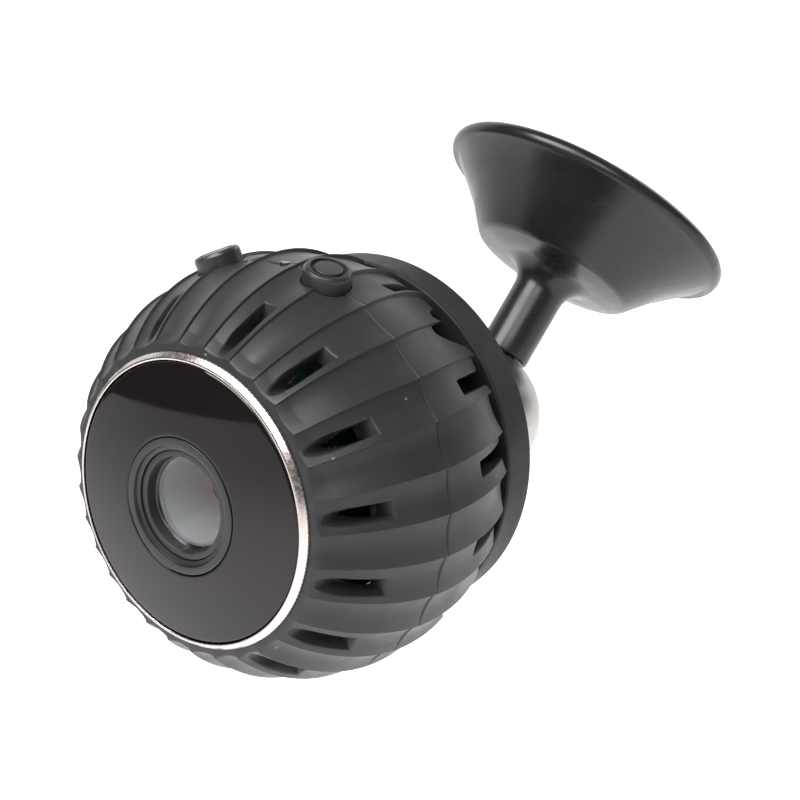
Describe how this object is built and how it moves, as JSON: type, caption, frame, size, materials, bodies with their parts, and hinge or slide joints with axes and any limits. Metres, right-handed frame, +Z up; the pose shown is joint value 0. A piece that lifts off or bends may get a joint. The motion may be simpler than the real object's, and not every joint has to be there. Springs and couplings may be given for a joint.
{
  "type": "dash camera",
  "caption": "Ball-shaped dash camera with a fluted black shell, glass front panel and lens, two top buttons and a magnetic ball joint on a flared adhesive stand.",
  "frame": {"origin": "centre of the stand's flat adhesive face", "axes": "the camera is level, but for a 2 degree roll on its mount, and looks along -Y, +Z is up, +X is the camera's right as seen from the front; the stand's neck rises backwards from the ball joint and leans towards +X"},
  "size_m": [0.0467, 0.0811, 0.0539],
  "materials": {
    "shell_black": "satin, fine grain",
    "trim_metal": "satin",
    "front_panel": "polished",
    "lens_black": "satin",
    "lens_glass": "polished",
    "lens_grey": "satin",
    "sensor_red": "polished",
    "board_green": "lacquered",
    "led_clear": "clear",
    "led_white": "polished",
    "gold_part": "satin",
    "frame_grey": "matte",
    "battery_foil": "foil",
    "chip_black": "matte",
    "shield_steel": "satin",
    "card_black": "satin",
    "flex_amber": "satin",
    "button_black": "satin",
    "screw_black": "black oxide",
    "disc_black": "matte, fine grain",
    "socket_black": "satin black",
    "magnet_nickel": "nickel plated",
    "ball_steel": "satin",
    "stand_black": "semi gloss",
    "pad_grey": "foam tape"
  },
  "bodies": {
    "stand": {"stand": "stand_black", "base_disc": "shield_steel", "adhesive_pad": "pad_grey", "ball_stud": "screw_black"},
    "ball": {"steel_ball": "ball_steel"},
    "socket": {"socket_cup": "socket_black", "seat_magnet": "magnet_nickel", "retaining_clip": "screw_black"},
    "power_button": {"power_button": "button_black"},
    "mode_button": {"mode_button": "button_black"},
    "memory_card": {"memory_card": "card_black"},
    "camera": {"front_shell": "shell_black", "rear_shell": "shell_black", "trim_ring": "trim_metal", "front_glass": "front_panel", "lens_bezel": "lens_black", "lens_barrel": "lens_black", "front_lens": "lens_glass", "lens_cone": "lens_grey", "rear_lens": "lens_glass", "lens_mount": "lens_black", "image_sensor": "sensor_red", "sensor_board": "board_green", "led_board": "board_green", "ir_leds": "led_clear", "light_sensor": "gold_part", "inner_frame": "frame_grey", "battery": "battery_foil", "main_board": "board_green", "processor": "chip_black", "wifi_module": "shield_steel", "card_socket": "shield_steel", "usb_port": "shield_steel", "switch_flex": "flex_amber", "tact_switches": "shield_steel", "microphone": "gold_part", "status_led": "led_white", "light_pipe": "led_clear", "shell_screws": "screw_black", "rear_disc": "disc_black", "disc_nut": "shield_steel"}
  },
  "joints": [
    {"name": "neck_swivel", "type": "hinge", "parent": "stand", "child": "ball", "pos_m": [-0.00736, -0.01783, -0.0235], "axis": [0.2422, 0.5864, 0.773], "continuous": true},
    {"name": "ball_tilt", "type": "hinge", "parent": "ball", "child": "socket", "pos_m": [-0.00736, -0.01783, -0.0235], "axis": [0.9542, 0, -0.299], "range_deg": [-30, 130]},
    {"name": "camera_roll", "type": "hinge", "parent": "socket", "child": "camera", "pos_m": [-0.00736, -0.01783, -0.0235], "axis": [0, 1, 0], "continuous": true},
    {"name": "power_press", "type": "slide", "parent": "camera", "child": "power_button", "axis": [-0.3788, 0.1422, -0.9145], "range_m": [0, 0.0004], "stiffness_N_per_m": 2500, "springref_m": -0.0001},
    {"name": "mode_press", "type": "slide", "parent": "camera", "child": "mode_button", "axis": [0.2478, 0.1422, -0.9583], "range_m": [0, 0.0004], "stiffness_N_per_m": 2500, "springref_m": -0.0001},
    {"name": "card_out", "type": "slide", "parent": "camera", "child": "memory_card", "axis": [-0.0349, 0, -0.9994], "range_m": [0, 0.013]}
  ]
}
